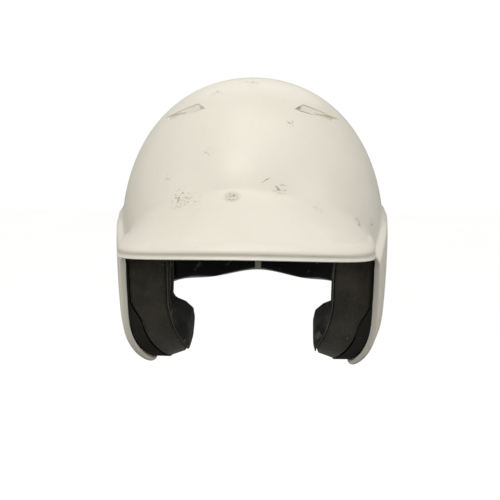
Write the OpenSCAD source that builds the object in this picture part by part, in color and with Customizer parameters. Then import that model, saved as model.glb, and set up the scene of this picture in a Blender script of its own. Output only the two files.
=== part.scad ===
// Batting helmet with a bill and two ear flaps: one moulded shell with glued pads.
// X is across, the front and the bill point to -Y, Z is up. The origin is the middle of the
// level where the dome is widest.

/* [Shell] */
// half the shell's width at its widest level, before the ear bulge
half_width = 104.2; // [102:0.2:106]
// half the dome's length
half_length = 119.5; // [117:0.5:122]
// how much further the dome reaches to the back than to the front, each way
back_shift = 2; // [0:0.5:4]
// height of the dome above the widest level
dome_height = 124.8; // [122:0.2:128]
// how far the dome is fuller than an ellipsoid, as a share
dome_fullness = 0.02; // [0.01:0.002:0.024]
// thickness of the moulded wall
wall = 3.6; // [3.2:0.1:4]
// how far the ear bulge stands out
ear_bulge = 3.5; // [2.5:0.5:4]
// how much further the flap flares out at its front edge
front_flare = 1.8; // [1:0.2:2]

/* [Bill] */
// how far the bill reaches in front of the dome
bill_reach = 52; // [46:1:56]
// height of the crease between dome and bill, above its ends
crease_rise = 37; // [33:1:40]
// height of the bill's turned-down lip
bill_lip = 6.4; // [6:0.2:7]

/* [Rim] */
// thickness of the rim round the flaps and the nape
rim_lip = 4.2; // [4:0.1:4.3]
// how far the bead stands out along the whole rim
bead = 0.9; // [0.6:0.1:1.2]
// radius of the ear holes
ear_hole_r = 15; // [13:0.5:16]

/* [Pads] */
// thickness of the base foam in the ear flaps
base_foam = 8.6; // [7:0.2:9]
// thickness of the forehead, side and rear pads
pad_thick = 13; // [10:0.5:14]
// thickness of the crown pad
crown_thick = 9; // [7:0.5:11]
// thickness of the lining cloth
cloth = 1; // [0.8:0.1:1.2]
// gap between the shell and the pads glued into it
seat_gap = 0.8; // [0.7:0.1:1]
// gap between glued layers
glue = 0.5; // [0.4:0.05:0.6]

/* [Hidden] */
arc = dome_height * PI / 180;
flap_width = half_width + ear_bulge;
ear_y = 5;
ear_z = -38;
hidden_depth = wall + seat_gap;

// Rim stations from the bill's centre to the nape: azimuth where the column leaves the dome,
// azimuth at the rim, height of the rim, share of the bill's reach.
STATIONS = [
    [0, 0, 18.3, 1], [11, 11.5, 17.4, 0.995], [22, 22.5, 15.2, 0.985], [31.5, 32, 12.4, 0.94],
    [39.5, 39.5, 10, 0.78], [46.5, 46.5, 8.6, 0.48], [53, 53.5, 8, 0.22], [58.5, 60, 7.5, 0.05],
    [63, 63, 0, 0], [67, 64, -30, 0], [72, 64.5, -62, 0], [78, 67.5, -88, 0],
    [85, 76, -103, 0], [92, 89, -106.5, 0], [99, 102, -101, 0], [107, 112, -85, 0],
    [115, 119, -67, 0], [126, 129, -57.5, 0], [140, 141, -57, 0], [154, 154, -60.5, 0],
    [167, 167, -57, 0], [180, 180, -53, 0]];
function turned(s, about) = [2*about - s[0], 2*about - s[1], s[2], s[3]];
CONTROL = concat([turned(STATIONS[1], 0)], STATIONS, [turned(STATIONS[len(STATIONS)-2], 180)]);

function clamp(x, low, high) = min(max(x, low), high);
function smooth(x) = let(c = clamp(x, 0, 1)) c*c*(3 - 2*c);
function unit(v) = v / norm(v);
function mix(a, b, w) = a*(1 - w) + b*w;

// cubic B-spline through the control rows, share t from 0 to 1
function station(t) =
    let(n = len(CONTROL) - 3, u = clamp(t, 0, 1)*n, k = min(floor(u), n - 1), f = u - k)
    (CONTROL[k]*pow(1 - f, 3) + CONTROL[k+1]*(3*f*f*f - 6*f*f + 4)
     + CONTROL[k+2]*(-3*f*f*f + 3*f*f + 3*f + 1) + CONTROL[k+3]*f*f*f)/6;

// share of full width below the widest level: nearly upright walls that tuck in at the bottom
function tuck(z) = 1 - 0.012*pow(z/45, 2) - 0.19*pow(max(0, -z - 54)/51, 2.5);
function bulge(y, z) =
    (ear_bulge + front_flare*smooth((-y - 10)/40))
    *smooth((1.04 - norm([(y - 8)/(y < 8 ? 74 : 63), (z + 45)/68]))/0.09)*smooth((80 - y)/60);
function fuller(tau) = 1 + dome_fullness*pow(sin(2*max(tau, 0)), 2);
function level(tau) = tau >= 0 ? dome_height*sin(tau)*fuller(tau) : arc*tau;
function girth(tau) = tau >= 0 ? cos(tau)*fuller(tau) : tuck(arc*tau);
function tau_at(z) = z < 0 ? z/arc : asin(clamp(z/dome_height, -1, 1));

// outer surface of the plain body at azimuth phi and elevation tau
function body(phi, tau, reach = 1, bulged = true) =
    let(g = girth(tau)*reach, z = level(tau), x = half_width*sin(phi)*g,
        y = -(half_length - back_shift*cos(phi))*cos(phi)*g,
        m = bulged ? 1 + bulge(y, z)/flap_width : 1)
    [x*m, y*m, z];
function body_normal(phi, tau) =
    let(e = 0.2)
    unit(cross(body(phi + e, tau, 1, false) - body(phi - e, tau, 1, false),
               body(phi, tau + e, 1, false) - body(phi, tau - e, 1, false)));
function body_at(phi, tau, depth) = body(phi, tau, 1, false) - depth*body_normal(phi, tau);

// outer surface of the shell: t runs round the rim from the bill to the nape, v from crown to rim
fillet = 16;
function crease(phi) = 8 + crease_rise*(1 - pow(min(abs(phi), 62)/62, 2));
function moulded(t, v) =
    let(s = station(t), start = tau_at(crease(s[0]) + fillet))
    v < 0.5 ? body(s[0], 90 + (start - 90)*2*v) :
    let(b = 2*v - 1, end = tau_at(s[2]), w = smooth((65 - s[0])/8),
        flap = body(s[0] + (s[1] - s[0])*b*b*b, start + (end - start)*b))
    w == 0 ? flap :
    let(S = body(s[0], start, 1, false),
        C = body(s[0], tau_at(crease(s[0])), 1, false),
        E = body(s[1], end, 1 + s[3]*bill_reach/(half_length - back_shift), false),
        P1 = S + unit(body(s[0], start - 0.5, 1, false) - S)*norm(C - S)*0.95,
        P2 = C + (E - C)*0.22)
    mix(flap, S*pow(1 - b, 3) + 3*P1*b*pow(1 - b, 2) + 3*P2*b*b*(1 - b) + E*b*b*b, w);
function skin_normal(t, v) =
    let(e = 0.002)
    unit(cross(moulded(t, v) - moulded(t, v - e), moulded(t + e, v) - moulded(t - e, v)));
function drop_length(t) =
    norm(moulded(t, 1) - moulded(t, 0.75)) + norm(moulded(t, 0.75) - moulded(t, 0.5));

// point at distance s back from the rim and depth d under the outer surface
function shell_point(t, s, d) =
    let(v = 1 - s/(2*drop_length(t)), w = smooth((62 - station(t)[0])/8)*smooth((d - 3.7)/1),
        n = skin_normal(t, v))
    moulded(t, v) - d*unit(mix(n, [0, 0, 1], w));

ring = 40;
DOME_ROWS = [0.06, 0.13, 0.2, 0.27, 0.34, 0.4, 0.45, 0.5];
DROP_ROWS = [0.12, 0.24, 0.36, 0.47, 0.57, 0.67, 0.76, 0.84, 0.92, 1];
BEAD_ROWS = [[5, -0.2*bead], [4.2, -0.8*bead], [3.4, -bead], [1, -bead], [0.2, -0.6*bead]];
bead_start = 6.6;
function lip(t) =
    let(a = station(t)[0]) mix(mix(wall, rim_lip, smooth((84 - a)/6)), bill_lip, smooth((62 - a)/8));
function drop_rows(t, d) =
    let(L = drop_length(t)) [for (f = DROP_ROWS) shell_point(t, L - f*(L - bead_start), d)];
function section(t) = concat(
    [for (v = DOME_ROWS) moulded(t, v)],
    drop_rows(t, 0),
    [for (r = BEAD_ROWS) shell_point(t, r[0], r[1])],
    [for (r = [[0, 0.8], [0, lip(t) - 1], [0.9, lip(t)], [3, lip(t)], [5.2, wall + 0.1]])
        shell_point(t, r[0], r[1])],
    [let(p = drop_rows(t, wall)) for (k = [len(p)-1:-1:0]) p[k]],
    [for (k = [len(DOME_ROWS)-1:-1:0])
        moulded(t, DOME_ROWS[k]) - wall*skin_normal(t, DOME_ROWS[k])]);

// skin of a closed tube of rings: side faces between rows, rows all of one length
function loft_faces(rows, count) = [for (i = [0:rows-2], j = [0:count-1])
    let(a = i*count + j, b = i*count + (j+1)%count, c = a + count, d = b + count)
    each [[a, b, d], [a, d, c]]];

module shell_body() {
    sections = [for (j = [0:ring]) section(j/ring)];
    rows = len(sections[0]);
    points = concat(
        [for (i = [0:rows-1], j = [0:2*ring-1])
            let(p = sections[j <= ring ? j : 2*ring - j][i]) [j <= ring ? p[0] : -p[0], p[1], p[2]]],
        [[0, 0, dome_height], [0, 0, dome_height - wall]]);
    n = rows*2*ring;
    polyhedron(points, concat(
        loft_faces(rows, 2*ring),
        [for (j = [0:2*ring-1]) [n, (j+1)%(2*ring), j]],
        [for (j = [0:2*ring-1])
            [n + 1, (rows-1)*2*ring + j, (rows-1)*2*ring + (j+1)%(2*ring)]]));
}

// half width of the flap's outer surface at a place seen from the side, with the share m that the
// bulge widens it
function wide_x(y, z, m) =
    let(g = girth(tau_at(z)), c0 = -y/(half_length*g*m), c = -y/((half_length - back_shift*c0)*g*m))
    half_width*sqrt(1 - c*c)*g*m;
full_bulge = 1 + ear_bulge/flap_width;
function side_x(y, z) = wide_x(y, z, 1 + bulge(y, z)/flap_width);
function side_normal(y, z) =
    let(e = 0.5)
    unit([1, -(wide_x(y + e, z, full_bulge) - wide_x(y - e, z, full_bulge))/(2*e),
          -(wide_x(y, z + e, full_bulge) - wide_x(y, z - e, full_bulge))/(2*e)]);

module shell() {
    color([0.89, 0.87, 0.81])
        difference() {
            shell_body();
            translate([-2*half_width, ear_y, ear_z])
                rotate([0, 90, 0])
                    cylinder(r = ear_hole_r, h = 4*half_width, $fn = 48);
            for (side = [0, 1])
                mirror([side, 0, 0])
                    vent();
        }
}

// The vent: two wedge-shaped openings with a bridge between, high on the dome's shoulder. Each
// corner is [x, y, depth]: the far side slopes in and the near side cuts right through.
VENT_BIG = [[32.8, -59.3, 0.4], [38.6, -48.9, 0.4], [50.3, -43.9, 0.4], [46.1, -55.1, 9], [37.5, -58.6, 9]];
VENT_SMALL = [[57.4, -40, 0.4], [62.5, -35, 0.4], [61, -42.8, 7], [54.7, -48.9, 7]];
function dome_point(x, y) =
    let(r = norm([x/half_width, y/(half_length - back_shift/2)]), tau = acos(r/fuller(acos(r))))
    [x, y, level(tau)];
function dome_normal(x, y) =
    let(p = dome_point(x, y))
    unit([p[0]/pow(half_width, 2), p[1]/pow(half_length, 2), p[2]/pow(dome_height, 2)]);
module wedge(corners) {
    n = len(corners);
    out = dome_normal(corners[1][0], corners[1][1]);
    base = [for (c = corners) dome_point(c[0], c[1])];
    points = concat([for (p = base) p + 3*out], [for (i = [0:n-1]) base[i] - corners[i][2]*out]);
    polyhedron(points, concat(
        [for (i = [1:n-2]) [0, i, i + 1]],
        [for (i = [0:n-3]) [2*n - 1, n + i + 1, n + i]],
        [for (i = [0:n-1]) let(k = (i + 1)%n) each [[i, n + k, k], [i, n + i, n + k]]]));
}
module vent() {
    wedge(VENT_BIG);
    wedge(VENT_SMALL);
}

// A pad that follows the body: azimuths a0..a1, lower and upper level as functions of azimuth,
// between two depths. The edges are rounded by pulling the inner face in, and droop is how much
// lower the head side hangs.
pad_edge = 3;
function pad_grid(cols, rows, a0, a1, low, high, depth, inset, droop = 0) =
    [for (j = [0:rows], i = [0:cols])
        let(u = i/cols, a = mix(a0, a1, u), zl = lookup(a, low) - droop, zh = lookup(a, high),
            ain = inset/1.9*(u < 0.5 ? 1 : -1)*(i == 0 || i == cols ? 1 : 0),
            zin = inset*(j == 0 ? 1 : j == rows ? -1 : 0))
        body_at(a + ain, tau_at(mix(zl, zh, j/rows) + zin), depth)];
module body_pad(a0, a1, low, high, near, far, cols = 14, rows = 6, edge = pad_edge, droop = 0) {
    outer = pad_grid(cols, rows, a0, a1, low, high, near, 0);
    waist = pad_grid(cols, rows, a0, a1, low, high, mix(near, far, 0.75), 0, droop);
    inner = pad_grid(cols, rows, a0, a1, low, high, far, edge, droop);
    w = cols + 1;
    n = w*(rows + 1);
    border = concat([for (i = [0:cols-1]) i], [for (j = [0:rows-1]) j*w + cols],
                    [for (i = [cols:-1:1]) rows*w + i], [for (j = [rows:-1:1]) j*w]);
    m = len(border);
    points = concat(outer, inner, [for (k = border) waist[k]]);
    faces = concat(
        [for (j = [0:rows-1], i = [0:cols-1]) let(a = j*w + i)
            each [[a, a + w, a + w + 1], [a, a + w + 1, a + 1]]],
        [for (j = [0:rows-1], i = [0:cols-1]) let(a = n + j*w + i)
            each [[a, a + w + 1, a + w], [a, a + 1, a + w + 1]]],
        [for (k = [0:m-1]) let(a = border[k], b = border[(k+1)%m], c = 2*n + k, d = 2*n + (k+1)%m)
            each [[a, b, d], [a, d, c], [c, d, n + b], [c, n + b, n + a]]]);
    polyhedron(points, faces);
}

REAR_LOW = [[118, -50], [128, -51.5], [141, -51.8], [154, -55], [167, -51.5], [178.6, -48.5]];
function raised(table, by) = [for (r = table) [r[0], r[1] + by]];
function flat(z) = [[-200, z], [200, z]];
rear_top = 26;
rear_droop = 3;

module rear_pad_half() {
    body_pad(121, 178.2, REAR_LOW, flat(rear_top), hidden_depth, hidden_depth + pad_thick, 16, 7,
             droop = rear_droop);
}
module rear_liner_half() {
    face = hidden_depth + pad_thick + glue;
    body_pad(124, 176.4, raised(REAR_LOW, 4 - rear_droop), flat(rear_top - 4), face, face + cloth,
             12, 5, 0.4);
}
module rear_pad_l() { color([0.05, 0.055, 0.06]) mirror([1, 0, 0]) rear_pad_half(); }
module rear_pad_r() { color([0.05, 0.055, 0.06]) rear_pad_half(); }
module rear_liner_l() { color([0.03, 0.035, 0.04]) mirror([1, 0, 0]) rear_liner_half(); }
module rear_liner_r() { color([0.03, 0.035, 0.04]) rear_liner_half(); }

FOREHEAD_LOW = [[-48, 26], [-24, 28], [0, 30], [24, 28], [48, 26]];
forehead_top = 66;
module forehead_pad() {
    color([0.05, 0.055, 0.06])
        body_pad(-46, 46, FOREHEAD_LOW, flat(forehead_top), hidden_depth, hidden_depth + pad_thick, 16, 5);
}
module forehead_liner() {
    face = hidden_depth + pad_thick + glue;
    color([0.03, 0.035, 0.04])
        body_pad(-43, 43, raised(FOREHEAD_LOW, 4), flat(forehead_top - 4), face, face + cloth, 12, 4, 0.4);
}

side_low = 8;
side_top = 58;
module side_pad_half() {
    body_pad(52, 108, flat(side_low), flat(side_top), hidden_depth, hidden_depth + pad_thick - 2, 10, 5);
}
module side_liner_half() {
    face = hidden_depth + pad_thick - 2 + glue;
    body_pad(55, 105, flat(side_low + 4), flat(side_top - 4), face, face + cloth, 8, 4, 0.4);
}
module side_liner_l() { color([0.03, 0.035, 0.04]) mirror([1, 0, 0]) side_liner_half(); }
module side_liner_r() { color([0.03, 0.035, 0.04]) side_liner_half(); }
module side_pad_l() { color([0.05, 0.055, 0.06]) mirror([1, 0, 0]) side_pad_half(); }
module side_pad_r() { color([0.05, 0.055, 0.06]) side_pad_half(); }

// a round cap under the top of the dome, between two depths and down to the level edge
module cap(near, far, edge, roll) {
    count = 40;
    levels = [86, 81, 76, 71, edge];
    rows = concat([for (t = levels) [t, near]], [[edge + 0.25*roll, mix(near, far, 0.7)]],
                  [for (k = [len(levels)-1:-1:0]) [levels[k] + (k == len(levels)-1 ? roll : 0), far]]);
    points = concat([for (r = rows, j = [0:count-1]) body_at(j*360/count, r[0], r[1])],
                    [[0, 0, dome_height - near], [0, 0, dome_height - far]]);
    n = len(rows)*count;
    polyhedron(points, concat(
        loft_faces(len(rows), count),
        [for (j = [0:count-1]) [n, (j+1)%count, j]],
        [for (j = [0:count-1]) [n + 1, (len(rows)-1)*count + j, (len(rows)-1)*count + (j+1)%count]]));
}
crown_edge = 66;
crown_gap = 0.3;
crown_near = hidden_depth + crown_gap;
module crown_pad() {
    color([0.05, 0.055, 0.06])
        cap(crown_near, crown_near + crown_thick, crown_edge, 1.2);
}
module crown_liner() {
    face = crown_near + crown_thick + glue;
    color([0.03, 0.035, 0.04])
        cap(face, face + cloth, crown_edge + 2, 0.2);
}

// Ear pads: rings round the ear pocket, seen from the side as [y, z].
EAR_OUT = [[-41.5, -9], [-44.5, -30], [-43.5, -54], [-40.5, -67], [-34.5, -79], [-25, -89], [-12, -95.5],
           [2, -97], [15, -94.5], [26, -87], [34.5, -77], [41, -66], [46, -52], [48, -34], [48, -16],
           [45, -9], [34, -4], [18, -2], [0, -2], [-18, -2], [-33, -4]];
EAR_IN = [[-15, -19], [-17, -32], [-17, -45], [-15, -55], [-11, -60], [-5, -62], [1, -63], [7, -63],
          [13, -62], [19, -60], [24, -56], [27, -50], [29, -43], [30, -34], [29, -26], [26, -19],
          [20, -15], [13, -13], [5, -12], [-3, -13], [-10, -15]];
LEG_FACE = [[-101, 48.5], [-97, 49], [-82, 53.5], [-68, 58], [-50, 62], [-20, 62.5], [4, 66]];
FOOT_FACE = [[-101, 51.5], [-97, 50.6], [-89, 49.8], [-77, 50], [-71, 51.5], [-66, 58],
             [-63, 66.5], [-59, 69.5], [-20, 69.5], [4, 72]];
function face_x(y, z) = mix(lookup(z, LEG_FACE), lookup(z, FOOT_FACE), smooth((y + 40)/26));
function sunk(y, z, depth) = depth/max(0.6, side_normal(y, z)[0]);
function seat_x(y, z) =
    min(side_x(y, z), side_x(y - 3, z), side_x(y, z + 3)) - sunk(y, z, hidden_depth);
function joint_x(y, z, extra) = wide_x(y, z, full_bulge) - sunk(y, z, foam_depth(y, z) + extra);
// depth of the joint between the two foams: the base foam thins out up the front of the flap
function foam_depth(y, z) =
    hidden_depth + base_foam*mix(0.14, 1, max(smooth((-z - 46)/20), smooth((y + 34)/30)));
// the foot's shell side reaches further down than its head side
foot_skew = 4.5;
function lowered(z) = z - foot_skew*smooth((-z - 60)/30);

// A ring pad: the shell side follows seat_x or the foam joint, the head side the joint or the face.
ring_steps = 8;
function spot(k, share) = mix(EAR_OUT[k], EAR_IN[k], share);
module ear_ring(share_out, share_in, seated, face_lift) {
    count = len(EAR_OUT);
    shares = [for (i = [0:ring_steps]) mix(share_out, share_in, i/ring_steps)];
    function shell_side(p) = let(z = lowered(p[1]))
        [seated ? seat_x(p[0], z) : joint_x(p[0], z, 1.8*glue), p[0], z];
    function head_side(p, w) = let(z = seated ? lowered(p[1]) : p[1])
        [seated ? joint_x(p[0], z, 0) : face_x(p[0], z) + face_lift + 1.5*pow(2*w - 1, 4),
         p[0], z];
    points = concat(
        [for (i = [0:ring_steps], k = [0:count-1]) shell_side(spot(k, shares[i]))],
        [for (i = [ring_steps:-1:0], k = [0:count-1]) head_side(spot(k, shares[i]), i/ring_steps)]);
    polyhedron(points, torus_faces(2*(ring_steps + 1), count));
}
function torus_faces(rows, count, crossed = false) = [for (i = [0:rows-1], j = [0:count-1])
    let(a = i*count + j, b = i*count + (j+1)%count, n = (i+1)%rows, c = n*count + j,
        d = n*count + (j+1)%count)
    each crossed ? [[a, c, b], [b, c, d]] : [[a, d, b], [a, c, d]]];
module ear_base_half() { ear_ring(0, 0.9, true, 0); }
comfort_edge = 0.02;
liner_edge = 0.35;
module ear_comfort_half() { ear_ring(comfort_edge, 1, false, cloth + 3*glue); }
// the lining lies on the comfort foam's face, a little inside its edges
module ear_liner_half() {
    count = len(EAR_OUT);
    function face(k, i) = let(w = i/ring_steps, p = spot(k, mix(comfort_edge, 1, w)))
        [face_x(p[0], p[1]) + 1.5*pow(2*w - 1, 4), p[0], p[1]];
    function lie(k, i, lift) = [lift, 0, 0] + (
        i == 0 ? mix(face(k, 0), face(k, 1), liner_edge) :
        i == ring_steps ? mix(face(k, i), face(k, i - 1), liner_edge) : face(k, i));
    points = concat(
        [for (i = [0:ring_steps], k = [0:count-1]) lie(k, i, cloth)],
        [for (i = [ring_steps:-1:0], k = [0:count-1]) lie(k, i, 0)]);
    polyhedron(points, torus_faces(2*(ring_steps + 1), count, true));
}
module ear_base_foam_r() { color([0.08, 0.08, 0.08]) ear_base_half(); }
module ear_base_foam_l() { color([0.08, 0.08, 0.08]) mirror([1, 0, 0]) ear_base_half(); }
module ear_comfort_foam_r() { color([0.2, 0.19, 0.17]) ear_comfort_half(); }
module ear_comfort_foam_l() { color([0.2, 0.19, 0.17]) mirror([1, 0, 0]) ear_comfort_half(); }
module ear_liner_r() { color([0.03, 0.035, 0.04]) ear_liner_half(); }
module ear_liner_l() { color([0.03, 0.035, 0.04]) mirror([1, 0, 0]) ear_liner_half(); }

shell();
forehead_pad();
forehead_liner();
crown_pad();
crown_liner();
side_pad_l();
side_pad_r();
side_liner_l();
side_liner_r();
rear_pad_l();
rear_pad_r();
rear_liner_l();
rear_liner_r();
ear_base_foam_l();
ear_base_foam_r();
ear_comfort_foam_l();
ear_comfort_foam_r();
ear_liner_l();
ear_liner_r();
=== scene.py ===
"""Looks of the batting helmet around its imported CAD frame. Lengths are in millimetres until a mesh is
made, and X is across, -Y is the bill's side, Z is up, as in the CAD."""
import math

import bpy
import numpy as np
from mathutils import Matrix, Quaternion, Vector, noise


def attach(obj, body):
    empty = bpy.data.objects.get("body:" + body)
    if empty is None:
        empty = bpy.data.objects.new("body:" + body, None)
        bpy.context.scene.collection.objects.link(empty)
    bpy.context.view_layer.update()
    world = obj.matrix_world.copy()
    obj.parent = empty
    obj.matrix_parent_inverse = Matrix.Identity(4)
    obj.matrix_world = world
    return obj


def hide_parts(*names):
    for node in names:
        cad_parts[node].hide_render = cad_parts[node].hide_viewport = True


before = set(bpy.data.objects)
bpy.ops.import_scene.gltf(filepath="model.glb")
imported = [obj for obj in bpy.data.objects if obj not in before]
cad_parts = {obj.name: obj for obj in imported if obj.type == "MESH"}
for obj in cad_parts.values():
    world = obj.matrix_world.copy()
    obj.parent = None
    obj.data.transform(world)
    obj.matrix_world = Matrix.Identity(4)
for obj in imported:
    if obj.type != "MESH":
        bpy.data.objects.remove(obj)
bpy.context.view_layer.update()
MM = 0.001

# ------------------------------------------------------------------ shape values
# As in the CAD, except that the crease over the bill is crisper and the bead and lip are finer.
HALF_WIDTH, HALF_LENGTH, BACK_SHIFT = 104.2, 119.5, 2.0
DOME_HEIGHT, FULLNESS = 124.8, 0.02
WALL, EAR_BULGE, FRONT_FLARE = 3.6, 3.5, 1.8
BILL_REACH, CREASE_LOW, CREASE_RISE, CREASE_END, FILLET = 52.0, 8.0, 37.0, 62.0, 6.0
BILL_LIP, RIM_LIP = 6.4, 4.2
EAR_HOLE_R, EAR_Y, EAR_Z = 15.0, 5.0, -38.0
BASE_FOAM, PAD_THICK, CROWN_THICK, CLOTH = 8.6, 13.0, 9.0, 1.0
SEAT_GAP, GLUE = 0.8, 0.5
HIDDEN_DEPTH = WALL + SEAT_GAP
FLAP_WIDTH = HALF_WIDTH + EAR_BULGE
FULL_BULGE = 1 + EAR_BULGE / FLAP_WIDTH
ARC = DOME_HEIGHT * math.pi / 180
STATIONS = np.array([
    [0, 0, 18.3, 1], [11, 11.5, 17.4, 0.995], [22, 22.5, 15.2, 0.985], [31.5, 32, 12.4, 0.94],
    [39.5, 39.5, 10, 0.78], [46.5, 46.5, 8.6, 0.48], [53, 53.5, 8, 0.22], [58.5, 60, 7.5, 0.05],
    [63, 63, 0, 0], [67, 64, -30, 0], [72, 64.5, -62, 0], [78, 67.5, -88, 0],
    [85, 76, -103, 0], [92, 89, -106.5, 0], [99, 102, -101, 0], [107, 112, -85, 0],
    [115, 119, -67, 0], [126, 129, -57.5, 0], [140, 141, -57, 0], [154, 154, -60.5, 0],
    [167, 167, -57, 0], [180, 180, -53, 0]], float)


# ------------------------------------------------------------------ the moulded surface
def turned(row, about):
    return np.array([2 * about - row[0], 2 * about - row[1], row[2], row[3]])


CONTROL = np.vstack([turned(STATIONS[1], 0), STATIONS, turned(STATIONS[-2], 180)])


def smooth(x):
    x = np.clip(x, 0, 1)
    return x * x * (3 - 2 * x)


def unit(v):
    return v / np.linalg.norm(v, axis=-1, keepdims=True)


def mix(a, b, w):
    return a * (1 - w) + b * w


def station(t):
    count = len(CONTROL) - 3
    u = np.clip(t, 0, 1) * count
    k = np.minimum(np.floor(u).astype(int), count - 1)
    f = (u - k)[..., None]
    return (CONTROL[k] * (1 - f) ** 3 + CONTROL[k + 1] * (3 * f**3 - 6 * f**2 + 4)
            + CONTROL[k + 2] * (-3 * f**3 + 3 * f**2 + 3 * f + 1) + CONTROL[k + 3] * f**3) / 6


def tuck(z):
    return 1 - 0.012 * (z / 45) ** 2 - 0.19 * (np.maximum(0, -z - 54) / 51) ** 2.5


def bulge(y, z):
    far = np.hypot((y - 8) / np.where(y < 8, 74, 63), (z + 45) / 68)
    out = EAR_BULGE + FRONT_FLARE * smooth((-y - 10) / 40)
    return out * smooth((1.04 - far) / 0.09) * smooth((80 - y) / 60)


def fuller(tau):
    return 1 + FULLNESS * np.sin(np.radians(2 * np.maximum(tau, 0))) ** 2


def level(tau):
    return np.where(tau >= 0, DOME_HEIGHT * np.sin(np.radians(tau)) * fuller(tau), ARC * tau)


def girth(tau):
    return np.where(tau >= 0, np.cos(np.radians(tau)) * fuller(tau), tuck(ARC * np.minimum(tau, 0)))


def tau_at(z):
    return np.where(z < 0, z / ARC, np.degrees(np.arcsin(np.clip(z / DOME_HEIGHT, -1, 1))))


def body(phi, tau, reach=1.0, bulged=True):
    phi, tau = np.asarray(phi, float), np.asarray(tau, float)
    s, c = np.sin(np.radians(phi)), np.cos(np.radians(phi))
    g, z = girth(tau) * reach, level(tau)
    x, y = HALF_WIDTH * s * g, -(HALF_LENGTH - BACK_SHIFT * c) * c * g
    if bulged:
        m = 1 + bulge(y, z) / FLAP_WIDTH
        x, y = x * m, y * m
    return np.stack(np.broadcast_arrays(x, y, z), -1)


def body_normal(phi, tau):
    e = 0.2
    return unit(np.cross(body(phi + e, tau, 1, False) - body(phi - e, tau, 1, False),
                         body(phi, tau + e, 1, False) - body(phi, tau - e, 1, False)))


def body_at(phi, tau, depth):
    phi, tau, depth = np.broadcast_arrays(phi, tau, depth)
    return body(phi, tau, 1, False) - depth[..., None] * body_normal(phi, tau)


def crease(phi):
    return CREASE_LOW + CREASE_RISE * (1 - (np.minimum(np.abs(phi), CREASE_END) / CREASE_END) ** 2)


def moulded(t, v):
    """Outer surface: t runs round the rim from the bill to the nape, v from the crown to the rim."""
    t, v = np.broadcast_arrays(np.asarray(t, float), np.asarray(v, float))
    flip = np.where((t < 0) | (t > 1), -1.0, 1.0)
    t = np.where(t < 0, -t, np.where(t > 1, 2 - t, t))
    s = station(t)
    leave, rim, low, share = (s[..., i] for i in range(4))
    start, end = tau_at(crease(leave) + FILLET), tau_at(low)
    dome = body(leave, 90 + (start - 90) * np.clip(2 * v, 0, 1))
    b = np.clip(2 * v - 1, 0, None)
    flap = body(leave + (rim - leave) * b**3, start + (end - start) * b)
    S = body(leave, start, 1, False)
    C = body(leave, tau_at(crease(leave)), 1, False)
    E = body(rim, end, 1 + share * BILL_REACH / (HALF_LENGTH - BACK_SHIFT), False)
    P1 = S + unit(body(leave, start - 0.5, 1, False) - S) * 0.95 * np.linalg.norm(
        C - S, axis=-1, keepdims=True)
    P2 = C + (E - C) * 0.1
    B = b[..., None]
    sweep = S * (1 - B) ** 3 + 3 * P1 * B * (1 - B) ** 2 + 3 * P2 * B * B * (1 - B) + E * B**3
    w = smooth((65 - leave) / 8)[..., None]
    out = np.where((v < 0.5)[..., None], dome, mix(flap, sweep, w))
    return out * np.stack([flip, np.ones_like(flip), np.ones_like(flip)], -1)


def skin_normal(t, v):
    e = 0.002
    return unit(np.cross(moulded(t, v) - moulded(t, v - e), moulded(t + e, v) - moulded(t - e, v)))


def drop_length(t):
    a, b, c = moulded(t, 1.0), moulded(t, 0.75), moulded(t, 0.5)
    return np.linalg.norm(a - b, axis=-1) + np.linalg.norm(b - c, axis=-1)


def shell_point(t, s, d):
    """Point at distance s back from the rim and depth d under the outer surface."""
    t, s, d = np.broadcast_arrays(*(np.asarray(a, float) for a in (t, s, d)))
    v = 1 - s / (2 * drop_length(t))
    w = (smooth((62 - station(t)[..., 0]) / 8) * smooth(d - 3.7))[..., None]
    return moulded(t, v) - d[..., None] * unit(mix(skin_normal(t, v), np.array([0, 0, 1.0]), w))


def lip(t):
    a = station(t)[..., 0]
    return mix(mix(WALL, RIM_LIP, smooth((84 - a) / 6)), BILL_LIP, smooth((62 - a) / 8))


# ------------------------------------------------------------------ mesh helpers
def mesh_piece(name, points, faces, material, sharp=40.0):
    """A smooth-shaded mesh object from points in millimetres."""
    mesh = bpy.data.meshes.new(name)
    mesh.from_pydata((np.asarray(points) * MM).tolist(), [], [tuple(f) for f in faces])
    mesh.validate()
    mesh.polygons.foreach_set("use_smooth", [True] * len(mesh.polygons))
    mesh.set_sharp_from_angle(angle=math.radians(sharp))
    piece = bpy.data.objects.new(name, mesh)
    bpy.context.scene.collection.objects.link(piece)
    for m in material if isinstance(material, (list, tuple)) else [material]:
        mesh.materials.append(m)
    return piece


def hand_in(piece, slot, *nodes):
    """Rides the piece on the one body and hides the CAD nodes it stands for. The slot is not used."""
    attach(piece, "root")
    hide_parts(*nodes)
    return piece


def loft_quads(rows, count, closed=False):
    """Quads between rings of points, facing outwards when rows run down and rings run X to Y."""
    i, j = np.meshgrid(np.arange(rows if closed else rows - 1), np.arange(count), indexing="ij")
    a, b = i * count + j, i * count + (j + 1) % count
    n = (i + 1) % rows
    c, d = n * count + j, n * count + (j + 1) % count
    return np.stack([a, c, d, b], -1).reshape(-1, 4).tolist()


def applied(piece):
    """The piece with its modifiers applied."""
    dg = bpy.context.evaluated_depsgraph_get()
    mesh = bpy.data.meshes.new_from_object(piece.evaluated_get(dg), depsgraph=dg)
    piece.modifiers.clear()
    old, piece.data = piece.data, mesh
    mesh.name = piece.name
    bpy.data.meshes.remove(old)
    return piece


def cut(piece, cutter):
    """Cuts the closed cutter out of the piece, and removes the cutter."""
    op = piece.modifiers.new("cut", "BOOLEAN")
    op.operation, op.solver, op.object = "DIFFERENCE", "EXACT", cutter
    applied(piece)
    bpy.data.objects.remove(cutter)


def mirrored(points):
    return np.asarray(points) * np.array([-1.0, 1, 1])


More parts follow.
